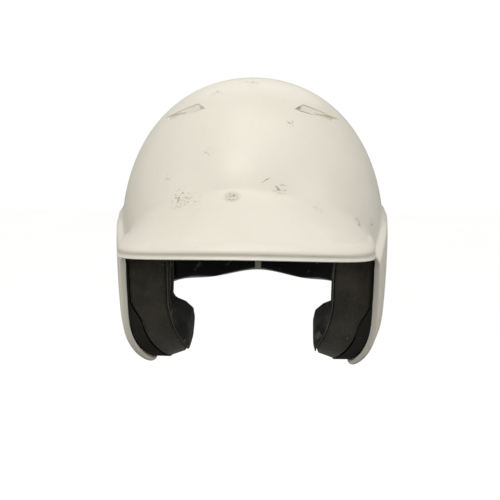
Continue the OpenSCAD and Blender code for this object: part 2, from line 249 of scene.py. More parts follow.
def solids(parts):
    """One list of points and faces out of several closed solids."""
    points, faces = [], []
    for p, f in parts:
        faces += [tuple(i + len(points) for i in face) for face in f]
        points += np.asarray(p).tolist()
    return points, faces


# ------------------------------------------------------------------ materials
class Nodes:
    """A short way to write a node material."""

    def __init__(self, name):
        self.material = bpy.data.materials.new(name)
        self.material.use_nodes = True
        self.tree = self.material.node_tree
        self.shader = self.tree.nodes["Principled BSDF"]
        self.place = self.add("ShaderNodeTexCoord").outputs["Object"]

    def add(self, kind, **values):
        node = self.tree.nodes.new(kind)
        for key, value in values.items():
            setattr(node, key, value)
        return node

    def feed(self, socket, value):
        if isinstance(value, bpy.types.NodeSocket):
            self.tree.links.new(value, socket)
        else:
            socket.default_value = value

    def noise(self, scale, detail=3.0, rough=0.5, at=None, distortion=0.0):
        node = self.add("ShaderNodeTexNoise")
        self.feed(node.inputs["Vector"], at or self.place)
        for key, value in (("Scale", scale), ("Detail", detail), ("Roughness", rough),
                           ("Distortion", distortion)):
            node.inputs[key].default_value = value
        return node.outputs["Fac"]

    def cells(self, scale, feature="F1", at=None):
        node = self.add("ShaderNodeTexVoronoi", feature=feature)
        self.feed(node.inputs["Vector"], at or self.place)
        node.inputs["Scale"].default_value = scale
        return node.outputs["Distance"]

    def ramp(self, value, low, high, out_low=0.0, out_high=1.0):
        node = self.add("ShaderNodeMapRange", interpolation_type="SMOOTHSTEP")
        for key, v in (("Value", value), ("From Min", low), ("From Max", high),
                       ("To Min", out_low), ("To Max", out_high)):
            self.feed(node.inputs[key], v)
        return node.outputs["Result"]

    def math(self, operation, a, b=0.0):
        node = self.add("ShaderNodeMath", operation=operation)
        self.feed(node.inputs[0], a)
        self.feed(node.inputs[1], b)
        return node.outputs[0]

    def vector(self, operation, a, b=(0, 0, 0), out=0):
        node = self.add("ShaderNodeVectorMath", operation=operation)
        self.feed(node.inputs[0], a)
        self.feed(node.inputs[1], b)
        return node.outputs[out]

    def moved(self, at=(0, 0, 0), turn=(0, 0, 0), scale=(1, 1, 1)):
        """Place turned and stretched about a point, in metres."""
        node = self.add("ShaderNodeMapping", vector_type="TEXTURE")
        self.feed(node.inputs["Vector"], self.place)
        node.inputs["Location"].default_value = at
        node.inputs["Rotation"].default_value = [math.radians(a) for a in turn]
        node.inputs["Scale"].default_value = scale
        return node.outputs["Vector"]

    def blend(self, fac, a, b):
        node = self.add("ShaderNodeMix", data_type="RGBA")
        self.feed(node.inputs[0], fac)
        self.feed(node.inputs[6], a)
        self.feed(node.inputs[7], b)
        return node.outputs[2]

    def bump(self, height, distance, strength=1.0, normal=None):
        node = self.add("ShaderNodeBump")
        self.feed(node.inputs["Height"], height)
        node.inputs["Distance"].default_value = distance
        node.inputs["Strength"].default_value = strength
        if normal is not None:
            self.feed(node.inputs["Normal"], normal)
        return node.outputs["Normal"]

    def near(self, spot, reach):
        """1 at the spot (millimetres), falling to 0 at the reach."""
        gap = self.vector("DISTANCE", self.place, tuple(c * MM for c in spot), 1)
        return self.ramp(gap, 0.25 * reach * MM, reach * MM, 1.0, 0.0)

    def finish(self, **values):
        for key, value in values.items():
            self.feed(self.shader.inputs[key.replace("_", " ")], value)
        return self.material


def rgb(r, g, b):
    return (r, g, b, 1.0)


# Scuffs: place (mm), reach (mm), turn of the streaks about Y (degrees), and the noise level above
# which it is marked, so a higher level leaves fewer marks.
SCUFFS = [
    ((-47, -100, 41), 12, 12, 0.54), ((-36, -105, 38), 11, -10, 0.54), ((-41, -101, 31), 8, -16, 0.53),
    ((-9, -111, 43), 8, 74, 0.45), ((-10, -110, 36), 6, 80, 0.46), ((24, -106, 50), 7, 38, 0.52),
    ((47, -102, 31), 9, 30, 0.46), ((36, -108, 30), 7, 30, 0.47), ((79, -75, 22), 6, 50, 0.5),
    ((90, -56, 19), 5, 60, 0.52), ((0, -30, 121), 9, 8, 0.55), ((-25, -42, 114), 7, 12, 0.54),
    ((31, -74, 93), 6, 62, 0.57), ((-28, -92, 74), 6, 75, 0.57), ((-57, -86, 55), 4, 60, 0.57),
]
# Single scratches: two ends and half width, all in mm.
SCRATCHES = [
    ((11, -106.5, 55), (20, -103, 60.5), 0.35), ((-51, -97, 43), (-44, -101, 37), 0.8),
    ((-46, -99, 45), (-37, -104, 41), 0.45), ((25, -107, 48), (30, -104, 52), 0.5),
    ((-44, -102, 33), (-33, -108, 31), 0.4), ((44, -104, 33), (51, -100, 29), 0.4),
    ((-8, -112, 40), (-10, -110, 46), 0.4), ((33, -72, 92), (36, -76, 87), 0.35),
]


def shell_material():
    n = Nodes("shell_plastic")
    cloud = n.noise(14, 3, 0.55)
    fine = n.noise(900, 2, 0.5)
    stain = n.ramp(n.noise(22, 5, 0.6, at=n.moved((0.07, 0.02, 0.01))), 0.56, 0.74)
    base = n.blend(n.ramp(cloud, 0.3, 0.7), rgb(0.765, 0.736, 0.650), rgb(0.80, 0.773, 0.692))
    base = n.blend(n.math("MULTIPLY", stain, 0.22), base, rgb(0.66, 0.60, 0.45))
    # faint upright streaks of rubbed grime
    streak = n.noise(60, 5, 0.65, at=n.moved(scale=(0.3, 1, 1)))
    grime = n.math("MULTIPLY", n.ramp(streak, 0.56, 0.85), 0.09)
    base = n.blend(grime, base, rgb(0.36, 0.32, 0.25))
    # scuffs: dark smears broken into short streaks
    marks = None
    for spot, reach, turn, least in SCUFFS:
        flow = n.moved(tuple(c * MM for c in spot), (0, turn, 0), (0.0042, 0.0013, 0.0011))
        broken = n.ramp(n.noise(1.0, 4, 0.62, at=flow, distortion=0.15), least, least + 0.1)
        mark = n.math("MULTIPLY", broken, n.near(spot, reach))
        marks = mark if marks is None else n.math("MAXIMUM", marks, mark)
    for a, b, half in SCRATCHES:
        a, b = Vector(a) * MM, Vector(b) * MM
        along = (b - a).length
        ray = n.vector("SUBTRACT", n.place, tuple(a))
        at = n.vector("DOT_PRODUCT", ray, tuple((b - a).normalized()), 1)
        held = n.math("MINIMUM", n.math("MAXIMUM", at, 0.0), along)
        scaled = n.add("ShaderNodeVectorMath", operation="SCALE")
        scaled.inputs[0].default_value = tuple((b - a).normalized())
        n.feed(scaled.inputs["Scale"], held)
        gap = n.vector("DISTANCE", ray, scaled.outputs[0], 1)
        wobble = n.math("ADD", gap, n.math("MULTIPLY", n.noise(500, 3), 0.0009))
        mark = n.ramp(wobble, 0.00045 + 0.3 * half * MM, 0.00045 + half * MM, 1.0, 0.0)
        marks = n.math("MAXIMUM", marks, mark)
    marks = n.math("MINIMUM", marks, 1.0)
    base = n.blend(n.math("MULTIPLY", marks, 0.8), base, rgb(0.15, 0.135, 0.11))
    # small dark specks and nicks everywhere
    speck = n.ramp(n.cells(170), 0.05, 0.085, 1.0, 0.0)
    rare = n.ramp(n.noise(75, 2), 0.66, 0.7)
    specks = n.math("MULTIPLY", n.math("MULTIPLY", speck, rare), 0.5)
    base = n.blend(specks, base, rgb(0.25, 0.22, 0.17))
    rough = n.ramp(n.noise(35, 5, 0.6), 0.25, 0.75, 0.36, 0.46)
    rough = n.math("ADD", rough, n.math("MULTIPLY", marks, 0.3))
    hairline = n.ramp(n.noise(240, 4, 0.7, at=n.moved(turn=(20, 30, 10), scale=(4, 0.6, 0.6))),
                      0.62, 0.7)
    relief = n.bump(n.noise(110, 2, 0.4), 0.00025, 0.5)
    relief = n.bump(fine, 0.00003, 0.6, relief)
    relief = n.bump(n.math("ADD", n.math("MULTIPLY", marks, -1.0),
                           n.math("MULTIPLY", hairline, -0.25)), 0.00018, 0.8, relief)
    s = n.shader.inputs
    s["Subsurface Weight"].default_value = 0.12
    s["Subsurface Radius"].default_value = (0.004, 0.003, 0.002)
    s["Subsurface Scale"].default_value = 1.0
    s["IOR"].default_value = 1.49
    s["Coat Weight"].default_value = 0.1
    s["Coat Roughness"].default_value = 0.28
    return n.finish(Base_Color=base, Roughness=rough, Normal=relief)


def foam_material(name, dark, light, dust, grain, felt):
    """Cut foam: fine open cells, worn lighter patches and dust specks."""
    n = Nodes(name)
    cell = n.cells(grain)
    fuzz = n.noise(grain * 0.7, 4, 0.7)
    patch = n.ramp(n.noise(28, 4, 0.6), 0.35, 0.68)
    base = n.blend(patch, rgb(*dark), rgb(*light))
    base = n.blend(n.ramp(fuzz, 0.3, 0.75, 0.0, 0.35), base, rgb(*[min(1, c * 1.7) for c in light]))
    lint = n.math("MULTIPLY", n.ramp(n.cells(210), 0.06, 0.12, 1.0, 0.0), n.ramp(n.noise(70), 0.55, 0.62))
    base = n.blend(n.math("MULTIPLY", lint, dust), base, rgb(0.42, 0.37, 0.28))
    relief = n.bump(n.noise(60, 3, 0.6), 0.0010, 0.5)
    relief = n.bump(cell, 0.0004 if felt else 0.00022, 0.7, relief)
    relief = n.bump(fuzz, 0.0003, 0.6, relief)
    n.shader.inputs["Specular IOR Level"].default_value = 0.25
    if felt:
        n.shader.inputs["Sheen Weight"].default_value = 0.25
        n.shader.inputs["Sheen Roughness"].default_value = 0.5
    return n.finish(Base_Color=base, Roughness=n.ramp(fuzz, 0.2, 0.8, 0.78, 0.97), Normal=relief)


def cloth_material(name, base_rgb, light_rgb, ticks=False):
    """Knitted lining: rows of small loops, sheen and, on the printed cloth, plain paired ticks."""
    n = Nodes(name)
    course = n.add("ShaderNodeTexWave", wave_type="BANDS", bands_direction="Z", wave_profile="SIN")
    wale = n.add("ShaderNodeTexWave", wave_type="BANDS", bands_direction="DIAGONAL", wave_profile="SIN")
    for wave, scale in ((course, 260), (wale, 200)):
        n.feed(wave.inputs["Vector"], n.place)
        wave.inputs["Scale"].default_value = scale
        wave.inputs["Distortion"].default_value = 0.6
        wave.inputs["Detail"].default_value = 1.0
    knit = n.math("MULTIPLY", course.outputs["Fac"], wale.outputs["Fac"])
    fuzz = n.noise(600, 3, 0.7)
    base = n.blend(n.ramp(n.noise(30, 4), 0.3, 0.7), rgb(*base_rgb), rgb(*light_rgb))
    base = n.blend(n.ramp(knit, 0.0, 0.8, 0.35, 0.0), base, rgb(*[c * 0.4 for c in base_rgb]))
    lint = n.math("MULTIPLY", n.ramp(n.cells(260), 0.05, 0.1, 1.0, 0.0), n.ramp(n.noise(60), 0.6, 0.66))
    base = n.blend(n.math("MULTIPLY", lint, 0.5), base, rgb(0.22, 0.2, 0.15))
    if ticks:
        # a sparse print of short worn dashes
        slot_at = n.moved(turn=(0, 35, 0), scale=(0.021, 0.021, 0.017))
        cell = n.vector("FRACTION", n.vector("ADD", slot_at, (0.35, 0.2, 0.4)))
        away = n.vector("ABSOLUTE", n.vector("SUBTRACT", cell, (0.5, 0.5, 0.5)))
        split = n.add("ShaderNodeSeparateXYZ")
        n.feed(split.inputs[0], away)
        dash = n.math("MULTIPLY", n.ramp(split.outputs["X"], 0.05, 0.08, 1.0, 0.0),
                      n.ramp(split.outputs["Z"], 0.2, 0.26, 1.0, 0.0))
        worn = n.ramp(n.noise(170, 3, 0.6), 0.42, 0.6)
        base = n.blend(n.math("MULTIPLY", n.math("MULTIPLY", dash, worn), 0.75), base, rgb(0.17, 0.165, 0.12))
    relief = n.bump(n.noise(45, 2, 0.5), 0.0012, 0.6)
    relief = n.bump(knit, 0.00035, 0.8, relief)
    relief = n.bump(fuzz, 0.00012, 0.5, relief)
    n.shader.inputs["Sheen Weight"].default_value = 0.18
    n.shader.inputs["Sheen Roughness"].default_value = 0.4
    n.shader.inputs["Specular IOR Level"].default_value = 0.3
    return n.finish(Base_Color=base, Roughness=n.ramp(fuzz, 0.2, 0.8, 0.7, 0.92), Normal=relief)


PLASTIC = shell_material()
BASE_FOAM_MAT = foam_material("foam_closed_cell", (0.017, 0.017, 0.0155), (0.032, 0.031, 0.027), 0.25,
                              1100, False)
FELT_FOAM = foam_material("foam_felt", (0.022, 0.0205, 0.0155), (0.062, 0.056, 0.041), 0.7, 800, True)
PAD_FOAM = foam_material("foam_black", (0.006, 0.007, 0.008), (0.013, 0.015, 0.017), 0.25, 900, False)
LINING = cloth_material("lining_knit", (0.007, 0.0075, 0.0078), (0.014, 0.015, 0.015), ticks=True)
RAW_EDGE = cloth_material("lining_raw_edge", (0.085, 0.078, 0.058), (0.16, 0.15, 0.115))

# ------------------------------------------------------------------ camera, light and floor
AZIMUTH, ELEVATION, ROLL = math.radians(2.6), math.radians(10), math.radians(0.3)
DISTANCE, LENS = 0.8, 71.42
SHIFT_X, SHIFT_Y = -0.0056, -0.032
look = Vector((-math.sin(AZIMUTH) * math.cos(ELEVATION), math.cos(AZIMUTH) * math.cos(ELEVATION),
               -math.sin(ELEVATION)))
camera = bpy.data.objects.new("camera", bpy.data.cameras.new("camera"))
bpy.context.scene.collection.objects.link(camera)
camera.location = -DISTANCE * look
camera.rotation_mode = "QUATERNION"
camera.rotation_quaternion = look.to_track_quat("-Z", "Y") @ Quaternion((0, 0, 1), ROLL)
camera.data.lens, camera.data.sensor_width = LENS, 36.0
camera.data.shift_x, camera.data.shift_y = SHIFT_X, SHIFT_Y
bpy.context.scene.camera = camera


def softbox(name, at, to, size, watts, colour=(1, 0.975, 0.925)):
    data = bpy.data.lights.new(name, "AREA")
    data.shape, data.size, data.size_y = "RECTANGLE", size[0], size[1]
    data.energy, data.color = watts, colour
    lamp = bpy.data.objects.new(name, data)
    bpy.context.scene.collection.objects.link(lamp)
    lamp.location = at
    lamp.rotation_mode = "QUATERNION"
    lamp.rotation_quaternion = (Vector(to) - Vector(at)).to_track_quat("-Z", "Y")


softbox("key", (-0.21, -0.81, 1.0), (0, 0, 0), (0.36, 0.36), 4.2)
softbox("over", (0.0, -0.2, 1.5), (0, 0, 0.05), (1.2, 1.0), 4.6)
softbox("front", (0.0, -1.7, 0.2), (0, 0, -0.03), (1.3, 0.8), 0.8)
softbox("left", (-1.4, -0.8, 0.4), (0, 0, 0), (0.8, 0.8), 7)
softbox("right", (1.4, -0.8, 0.45), (0, 0, 0), (0.8, 0.8), 8)
softbox("back", (0.0, 1.3, 1.0), (0, 0, 0), (1.2, 0.8), 3)

# the room: soft light that is dimmer from below, in front of a white backdrop
world = bpy.data.worlds.new("studio")
bpy.context.scene.world = world
world.use_nodes = True
room = world.node_tree
air = room.nodes["Background"]
direction = room.nodes.new("ShaderNodeTexCoord")
split = room.nodes.new("ShaderNodeSeparateXYZ")
height = room.nodes.new("ShaderNodeMapRange")
height.interpolation_type = "SMOOTHSTEP"
for key, value in (("From Min", -0.5), ("From Max", 0.6), ("To Min", 0.2), ("To Max", 0.42)):
    height.inputs[key].default_value = value
room.links.new(direction.outputs["Generated"], split.inputs[0])
room.links.new(split.outputs["Z"], height.inputs["Value"])
seen = room.nodes.new("ShaderNodeLightPath")
choice = room.nodes.new("ShaderNodeMix")
room.links.new(seen.outputs["Is Camera Ray"], choice.inputs[0])
room.links.new(height.outputs[0], choice.inputs[2])
choice.inputs[3].default_value = 1.05
room.links.new(choice.outputs[0], air.inputs["Strength"])
air.inputs["Color"].default_value = (1, 0.995, 0.98, 1)
bpy.context.scene.view_settings.view_transform = "Standard"

FLOOR_Z, FLOOR_HALF = -900.0, 6000.0
floor_paint = Nodes("floor_paint")
floor_mat = floor_paint.finish(
    Base_Color=floor_paint.blend(floor_paint.ramp(floor_paint.noise(3), 0.3, 0.7), rgb(0.93, 0.93, 0.925),
                                 rgb(0.96, 0.96, 0.955)), Roughness=0.9)
floor_paint.shader.inputs["Emission Color"].default_value = (1, 1, 1, 1)
floor_paint.shader.inputs["Emission Strength"].default_value = 0.6
floor = mesh_piece("floor", [(-FLOOR_HALF, -FLOOR_HALF, FLOOR_Z), (FLOOR_HALF, -FLOOR_HALF, FLOOR_Z),
                             (FLOOR_HALF, FLOOR_HALF, FLOOR_Z), (-FLOOR_HALF, FLOOR_HALF, FLOOR_Z)],
                   [(0, 1, 2, 3)], floor_mat)
floor.visible_diffuse = floor.visible_glossy = False

# ------------------------------------------------------------------ shell
HALF_COLUMNS = 150
DOME_ROWS, DROP_ROWS, INNER_DROP, INNER_DOME = 46, 48, 26, 22
BEAD_START = 9.6
# Rows of (distance back from the rim, depth under the surface): the bead, then the lip's underside
# (there as depth above its lowest level). The groove is (share down the face, how deep).
RIM = [(8.6, 0), (7.4, 0), (6.2, 0.02), (5.2, 0.05), (4.5, -0.12), (3.8, -0.6), (2.8, -0.88),
       (1.6, -0.72), (0.7, -0.2), (0.15, 0.75), (0, 1.7)]
UNDER = [(0.02, 1.1), (0.2, 0.2), (0.9, 0), (2.2, 0), (3.5, 0)]
FACE_TOP, FACE_FOOT = 1.7, 1.0
BILL_GROOVE = [(0.1, 0.1), (0.25, 0.5), (0.45, 0.95), (0.7, 1.2), (0.86, 0.95), (0.96, 0.3)]


def b_spline_rows(rows, steps):
    """Quadratic B-spline down each column through the control rows, which are points (columns, 3)."""
    out = []
    for a, b, c in zip(rows, rows[1:], rows[2:]):
        for k in range(steps):
            f = k / steps
            out.append(a * 0.5 * (1 - f) ** 2 + b * (0.5 + f * (1 - f)) + c * 0.5 * f * f)
    return out


def shell_rows():
    t = np.linspace(0, 1, HALF_COLUMNS + 1)
    full = drop_length(t)
    on_bill = smooth((62 - station(t)[..., 0]) / 8)[:, None]
    rows = [moulded(t, v) for v in np.linspace(0.012, 0.5, DOME_ROWS)]
    for f in np.linspace(0, 1, DROP_ROWS + 1)[1:]:
        rows.append(shell_point(t, full - f * (full - BEAD_START), 0))
    face_top, face_low = shell_point(t, 0, FACE_TOP), shell_point(t, 0, lip(t) - FACE_FOOT)
    inward = unit(shell_point(t, 3, 2) - shell_point(t, 0, 2))
    edge = [shell_point(t, s, d) for s, d in RIM]
    for f, groove in BILL_GROOVE:
        edge.append(mix(face_top, face_low, f) + groove * on_bill * inward)
    edge += [shell_point(t, s, lip(t) - d) for s, d in UNDER]
    edge += [shell_point(t, 4.6, mix(lip(t), WALL, 0.45)), shell_point(t, 6.2, WALL + 0.1),
             shell_point(t, 7.4, WALL), shell_point(t, 9, WALL)]
    rows += b_spline_rows([rows[-1], rows[-1]] + edge, 3)
    for f in np.linspace(0, 1, INNER_DROP)[::-1]:
        rows.append(shell_point(t, full - f * (full - BEAD_START), WALL))
    for v in np.linspace(0.02, 0.5, INNER_DOME)[::-1][1:]:
        rows.append(moulded(t, v) - WALL * skin_normal(t, np.full_like(t, v)))
    return rows


def make_shell():
    rows = np.array(shell_rows())
    ring = np.concatenate([rows, mirrored(rows[:, -2:0:-1])], 1)
    count, n = ring.shape[1], len(rows)
    points = np.concatenate([ring.reshape(-1, 3), [[0, 0, DOME_HEIGHT], [0, 0, DOME_HEIGHT - WALL]]])
    top, under = len(points) - 2, len(points) - 1
    faces = loft_quads(n, count)
    last = (n - 1) * count
    faces += [(top, j, (j + 1) % count) for j in range(count)]
    faces += [(under, last + (j + 1) % count, last + j) for j in range(count)]
    return mesh_piece("shell_moulding", points, faces, PLASTIC)


def dome_point(x, y):
    r = math.hypot(x / HALF_WIDTH, y / (HALF_LENGTH - BACK_SHIFT / 2))
    first = math.degrees(math.acos(r))
    tau = math.degrees(math.acos(r / float(fuller(first))))
    return np.array([x, y, float(level(tau))])


def wedge(corners, about):
    """A closed cutter: corners are [x, y, depth] on the dome, cut along the normal at about."""
    p = dome_point(*about)
    out = unit(p / np.array([HALF_WIDTH**2, HALF_LENGTH**2, DOME_HEIGHT**2]))
    base = np.array([dome_point(x, y) for x, y, _ in corners])
    deep = base - np.array([c[2] for c in corners])[:, None] * out
    n = len(corners)
    faces = [(0, i + 1, i) for i in range(1, n - 1)] + [(n, n + i, n + i + 1) for i in range(1, n - 1)]
    faces += [(i, (i + 1) % n, n + (i + 1) % n, n + i) for i in range(n)]
    return np.vstack([base + 3 * out, deep]), faces


def flipped(points, faces):
    return mirrored(points), [tuple(reversed(f)) for f in faces]


VENT_STEP = [(32.8, -59.3, 0.1), (38.6, -48.9, 0.8), (50.3, -43.9, 0.8), (57.4, -40, 0.7), (67, -29.5, 0.05),
             (61.3, -42.6, 0.1), (54.7, -48.9, 0.1), (46.1, -55.1, 0.1)]
VENT_BIG = [(37.5, -58.6, 9), (32.8, -59.3, 0.4), (38.6, -48.9, 0.4), (50.3, -43.9, 0.4), (46.1, -55.1, 9)]
VENT_SMALL = [(54.7, -48.9, 7), (57.4, -40, 0.4), (62.5, -35, 0.4), (61, -42.8, 7)]


def tube(profile, at, axis, count=96):
    """A closed turned solid: profile rows are (distance along the axis, radius), in mm."""
    axis = Vector(axis).normalized()
    side = axis.orthogonal().normalized()
    up = axis.cross(side)
    points = []
    for along, r in profile:
        for k in range(count):
            a = 2 * math.pi * k / count
            points.append(Vector(at) + along * axis + r * (math.cos(a) * side + math.sin(a) * up))
    n = len(profile)
    quads = [tuple(reversed(f)) for f in loft_quads(n, count)]
    caps = [tuple(reversed(range(count))), tuple((n - 1) * count + k for k in range(count))]
    return np.array([tuple(p) for p in points]), quads + caps


shell = make_shell()
step = wedge(VENT_STEP, (38.6, -48.9))
cut(shell, mesh_piece("cutter", *solids([step, flipped(*step)]), PLASTIC))
big, small = wedge(VENT_BIG, (38.6, -48.9)), wedge(VENT_SMALL, (57.4, -40))
holes = [big, flipped(*big), small, flipped(*small)]
# the ear holes' cutter: (distance out from the flap's skin, how much wider than the hole)
ear_outer = FLAP_WIDTH - 0.2
EAR_CUT = [(-12, 0), (-1.2, 0), (-0.6, 0.2), (-0.2, 0.6), (4, 4)]
for side in (-1, 1):
    profile = [(ear_outer + out, EAR_HOLE_R + wider) for out, wider in EAR_CUT]
    holes.append(tube(profile, (0, EAR_Y, EAR_Z), (side, 0, 0)))
cut(shell, mesh_piece("cutter", *solids(holes), PLASTIC))
shell.data.polygons.foreach_set("use_smooth", [True] * len(shell.data.polygons))
shell.data.set_sharp_from_angle(angle=math.radians(32))
hand_in(shell, "shell", "shell")

# ------------------------------------------------------------------ pads that follow the dome
REAR_LOW = [(118, -50), (128, -51.5), (141, -51.8), (154, -55), (167, -51.5), (178.6, -48.5)]
FOREHEAD_LOW = [(-48, 26), (-24, 28), (0, 30), (24, 28), (48, 26)]
REAR_TOP, FOREHEAD_TOP, SIDE_LOW, SIDE_TOP, REAR_DROOP = 26, 66, 8, 58, 3


def level_line(table, by=0.0):
    az, z = zip(*table)
    return lambda a: np.interp(a, az, z) + by


def lump(points, size, seed):
    """Slow uneven swelling for soft pieces, from -1 to 1, by place."""
    shift = Vector((seed * 7.3, seed * 3.1, seed * 5.7))
    return np.array([noise.noise(Vector(p) / size + shift) for p in np.asarray(points).reshape(-1, 3)])


def crowned(a0, a1, low, high, near, thick, cols, rows, side, roll, mirror=False, seed=1, uneven=0.6,
            droop=0.0):
    """A pad on the dome's inside whose head side is crowned: its edge wall is side (a share) high and
    the face rounds over within roll millimetres. The head side hangs droop lower at the bottom."""
    u, v = np.meshgrid(np.linspace(0, 1, cols + 1), np.linspace(0, 1, rows + 1))
    az = mix(a0, a1, u)
    z = mix(low(az), high(az), v)
    across = np.radians(abs(a1 - a0)) * 104.0
    tall = float(np.mean(high(az) - low(az)))
    gap = np.minimum(np.minimum(u, 1 - u) * across, np.minimum(v, 1 - v) * tall)
    corner = np.hypot(np.maximum(roll - np.minimum(u, 1 - u) * across, 0),
                      np.maximum(roll - np.minimum(v, 1 - v) * tall, 0))
    face = np.clip(corner / roll, 0, 1)
    rise = side + (1 - side) * np.sqrt(1 - face**2)
    rise = np.where(gap <= 0, side, rise)
    outer = body_at(az, tau_at(z), near)
    hung = tau_at(z - droop * (1 - v))
    inner = body_at(az, hung, near + thick * rise)
    bumps = uneven * lump(inner, 26, seed).reshape(az.shape) * np.clip(1 - face, 0, 1)
    inner = inner + bumps[..., None] * body_normal(az, hung)
    w = cols + 1
    n = w * (rows + 1)
    border = ([i for i in range(cols)] + [j * w + cols for j in range(rows)]
              + [rows * w + i for i in range(cols, 0, -1)] + [j * w for j in range(rows, 0, -1)])
    points = np.vstack([outer.reshape(-1, 3), inner.reshape(-1, 3)])
    faces = []
    for j in range(rows):
        for i in range(cols):
            a = j * w + i
            faces.append((a, a + 1, a + w + 1, a + w))
            faces.append((n + a, n + a + w, n + a + w + 1, n + a + 1))
    m = len(border)
    for k in range(m):
        a, b = border[k], border[(k + 1) % m]
        faces.append((a, n + a, n + b, b))
    if mirror:
        points, faces = flipped(points, faces)
    return points, faces


def even(z):
    return lambda a: np.full(np.shape(a), float(z))


def dome_pad(node, a0, a1, low, high, thick, cols, rows, mirror, seed, droop=0.0):
    solid = crowned(a0, a1, low, high, HIDDEN_DEPTH, thick - 0.2, cols, rows, 0.5, 5.0, mirror, seed,
                    0.6, droop)
    piece = mesh_piece("visual_" + node, *solid, PAD_FOAM, 60)
    hand_in(piece, "black_foam", node)
    return piece


def dome_liner(node, a0, a1, low, high, thick, cols, rows, mirror):
    face = HIDDEN_DEPTH + thick + GLUE
    solid = crowned(a0, a1, low, high, face, CLOTH, cols, rows, 0.6, 1.2, mirror, 3, 0.0)
    piece = mesh_piece("visual_" + node, *solid, LINING, 60)
    hand_in(piece, "liner_cloth", node)


# how far the linings stop short of their pads, and how much thinner the side pads are
MARGIN, SIDE_LESS = 4, 2
for side, mirror in (("l", True), ("r", False)):
    pad = dome_pad("rear_pad_" + side, 121, 178.2, level_line(REAR_LOW), even(REAR_TOP), PAD_THICK,
                   80, 64, mirror, 2, REAR_DROOP)
    dome_liner("rear_liner_" + side, 124, 176.4, level_line(REAR_LOW, MARGIN - REAR_DROOP),
               even(REAR_TOP - MARGIN), PAD_THICK, 70, 56, mirror)
    pad = dome_pad("side_pad_" + side, 52, 108, even(SIDE_LOW), even(SIDE_TOP), PAD_THICK - SIDE_LESS,
                   70, 42, mirror, 4)
    dome_liner("side_liner_" + side, 55, 105, even(SIDE_LOW + MARGIN), even(SIDE_TOP - MARGIN),
               PAD_THICK - SIDE_LESS, 60, 36, mirror)
pad = dome_pad("forehead_pad", -46, 46, level_line(FOREHEAD_LOW), even(FOREHEAD_TOP), PAD_THICK,
               110, 34, False, 6)
dome_liner("forehead_liner", -43, 43, level_line(FOREHEAD_LOW, MARGIN), even(FOREHEAD_TOP - MARGIN),
           PAD_THICK, 90, 30, False)

CROWN_EDGE, CROWN_GAP = 66.0, 0.3


def cap(node, near, thick, edge, roll, material):
    """A round cap under the top of the dome with a rolled edge."""
    count = 96
    az = np.linspace(0, 360, count, endpoint=False)
    rows = [(t, near) for t in np.linspace(89, edge, 22)]
    for k in range(1, 8):
        a = math.pi * k / 8
        rows.append((edge + roll * (1 - math.sin(a)), near + thick * (0.5 - 0.5 * math.cos(a))))
    rows += [(t, near + thick) for t in np.linspace(edge + 1.5 * roll, 89, 20)]
    points = np.array([body_at(az, t, d) for t, d in rows]).reshape(-1, 3)
    points = np.vstack([points, [[0, 0, DOME_HEIGHT - near], [0, 0, DOME_HEIGHT - near - thick]]])
    n = len(rows)
    faces = loft_quads(n, count) + [(n * count, j, (j + 1) % count) for j in range(count)]
    faces += [(n * count + 1, (n - 1) * count + (j + 1) % count, (n - 1) * count + j) for j in range(count)]
    return mesh_piece("visual_" + node, points, faces, material, 60)


crown = cap("crown_pad", HIDDEN_DEPTH + CROWN_GAP, CROWN_THICK - 0.2, CROWN_EDGE, 1.1, PAD_FOAM)
hand_in(crown, "black_foam", "crown_pad")
cover = cap("crown_liner", HIDDEN_DEPTH + CROWN_GAP + CROWN_THICK + GLUE, CLOTH, CROWN_EDGE + 2, 0.1, LINING)
hand_in(cover, "liner_cloth", "crown_liner")

# ------------------------------------------------------------------ ear pads
EAR_OUT = [(-41.5, -9), (-44.5, -30), (-43.5, -54), (-40.5, -67), (-34.5, -79), (-25, -89), (-12, -95.5),
           (2, -97), (15, -94.5), (26, -87), (34.5, -77), (41, -66), (46, -52), (48, -34), (48, -16),
           (45, -9), (34, -4), (18, -2), (0, -2), (-18, -2), (-33, -4)]
EAR_IN = [(-15, -19), (-17, -32), (-17, -45), (-15, -55), (-11, -60), (-5, -62), (1, -63), (7, -63),
          (13, -62), (19, -60), (24, -56), (27, -50), (29, -43), (30, -34), (29, -26), (26, -19),
          (20, -15), (13, -13), (5, -12), (-3, -13), (-10, -15)]
LEG_FACE = [(-101, 48.5), (-97, 49), (-82, 53.5), (-68, 58), (-50, 62), (-20, 62.5), (4, 66)]
FOOT_FACE = [(-101, 51.5), (-97, 50.6), (-89, 49.8), (-77, 50), (-71, 51.5), (-66, 58), (-63, 66.5),
             (-59, 69.5), (-20, 69.5), (4, 72)]
FOOT_SKEW = 4.5
FOAM_GAP = 1.8 * GLUE
ROUND_STEPS = 9


def closed_curve(corners, steps):
    """Points on a closed Catmull-Rom curve through the corners."""
    p = np.array(corners, float)
    f = np.linspace(0, 1, steps, endpoint=False)[:, None]
    out = []
    for k in range(len(p)):
        a, b, c, d = p[k - 1], p[k], p[(k + 1) % len(p)], p[(k + 2) % len(p)]
        square, cube = 2 * a - 5 * b + 4 * c - d, 3 * b - a - 3 * c + d
        out.append(0.5 * (2 * b + (c - a) * f + square * f**2 + cube * f**3))
    return np.vstack(out)


def wide_x(y, z, m):
    g = girth(tau_at(z))
    c0 = -y / (HALF_LENGTH * g * m)
    c = -y / ((HALF_LENGTH - BACK_SHIFT * c0) * g * m)
    return HALF_WIDTH * np.sqrt(1 - c * c) * g * m


def side_x(y, z):
    return wide_x(y, z, 1 + bulge(y, z) / FLAP_WIDTH)


